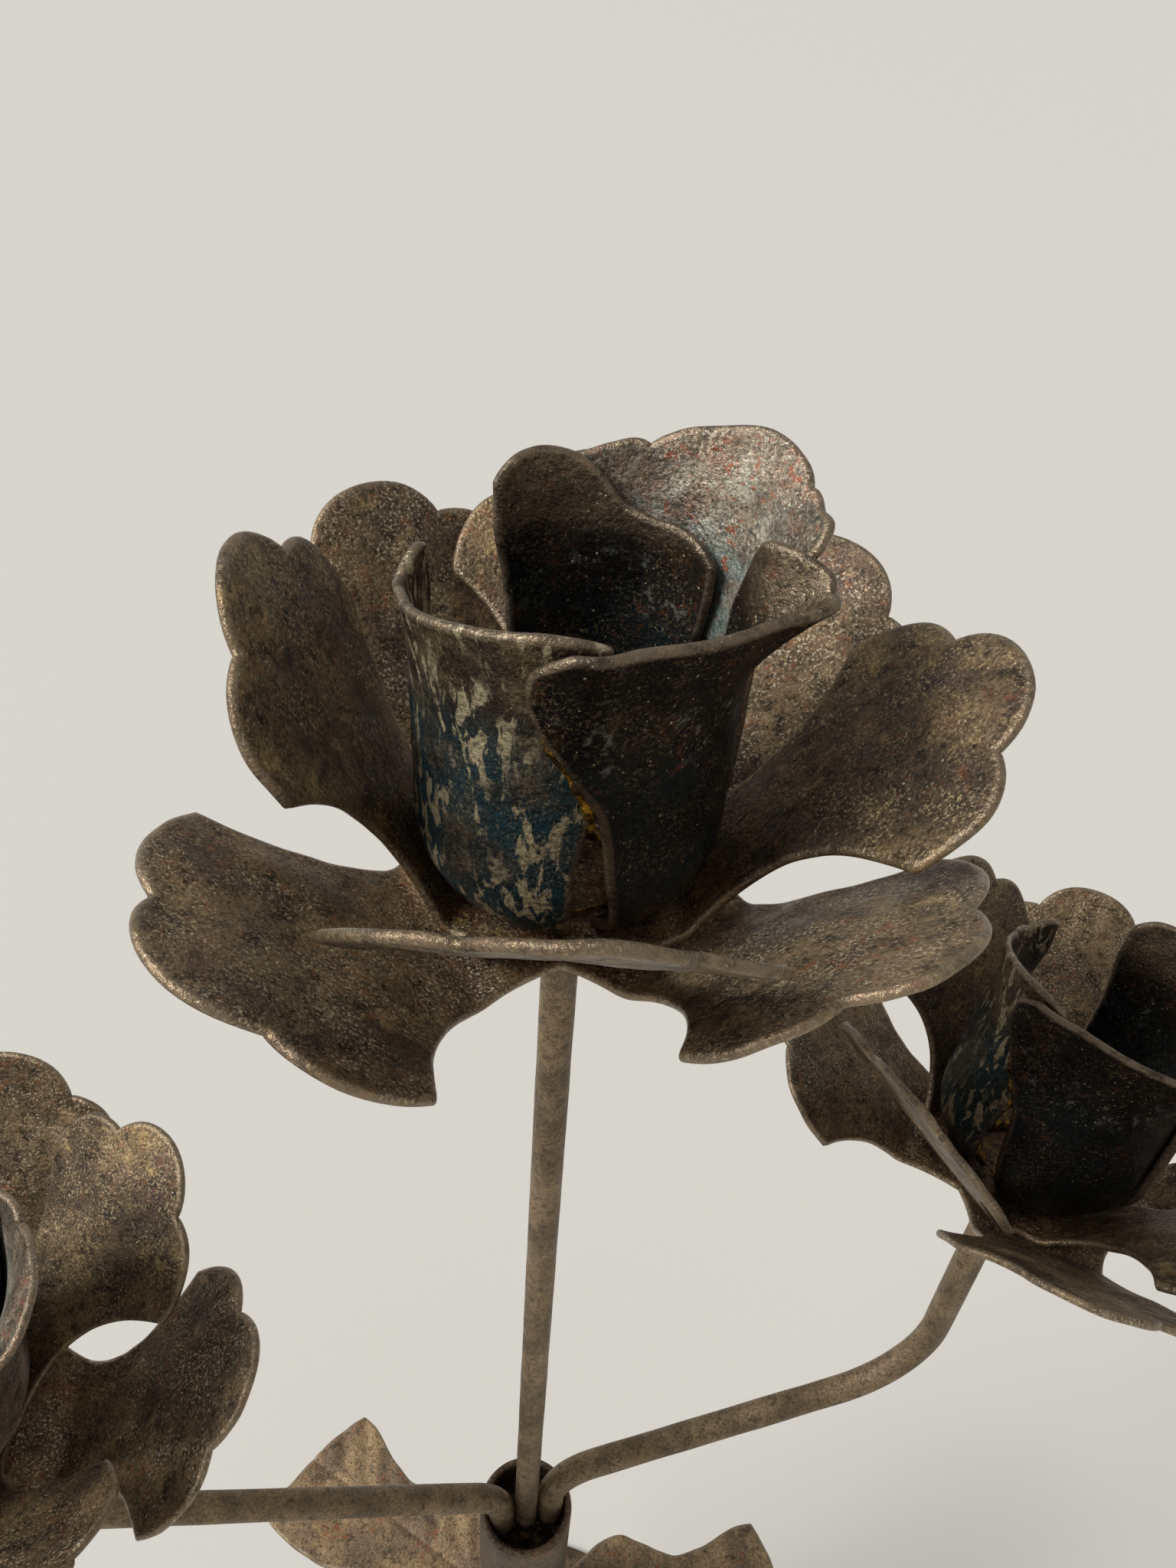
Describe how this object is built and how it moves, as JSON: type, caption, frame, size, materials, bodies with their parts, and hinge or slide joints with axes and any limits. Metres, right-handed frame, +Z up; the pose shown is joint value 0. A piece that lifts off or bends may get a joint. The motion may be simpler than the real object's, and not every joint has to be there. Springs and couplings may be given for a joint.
{
  "type": "candle holder",
  "caption": "Steel candle holder like a rose plant: a tube on a round base carries rose flowers on bent rods, and the rolled petals of each flower form the socket for a candle.",
  "frame": {"origin": "centre of the base plate's underside, on the trunk tube's axis", "axes": "+Z up along the trunk; +X towards the right flower; +Y away from the viewer of the front"},
  "size_m": [0.2273, 0.1213, 0.348],
  "materials": {
    "blackened_steel": "blackened by heat, dull, with a little rust",
    "browned_steel": "hammered sheet, brown and black patina with rust freckles and bright worn edges",
    "blued_steel": "heat-blued sheet with tan stains, waxed",
    "rusted_steel": "thin brown rust",
    "brass_braze": "as brazed, tarnished"
  },
  "bodies": {
    "root": {"base_plate": "blackened_steel", "base_weld": "blackened_steel", "trunk_tube": "blackened_steel", "hub_braze": "brass_braze", "centre_stem": "blackened_steel", "left_arm": "blackened_steel", "right_arm": "blackened_steel", "left_leaf": "rusted_steel", "right_leaf": "rusted_steel", "leaf_braze": "brass_braze", "centre_lower_petals": "browned_steel", "centre_upper_petals": "browned_steel", "centre_cup_petal_1": "blued_steel", "centre_cup_petal_2": "blued_steel", "centre_cup_petal_3": "browned_steel", "centre_cup_petal_4": "browned_steel", "centre_braze": "brass_braze", "left_lower_petals": "browned_steel", "left_upper_petals": "browned_steel", "left_cup_petal_1": "blued_steel", "left_cup_petal_2": "blued_steel", "left_cup_petal_3": "browned_steel", "left_cup_petal_4": "browned_steel", "left_braze": "brass_braze", "right_lower_petals": "browned_steel", "right_upper_petals": "browned_steel", "right_cup_petal_1": "blued_steel", "right_cup_petal_2": "blued_steel", "right_cup_petal_3": "browned_steel", "right_cup_petal_4": "browned_steel", "right_braze": "brass_braze"}
  },
  "joints": []
}
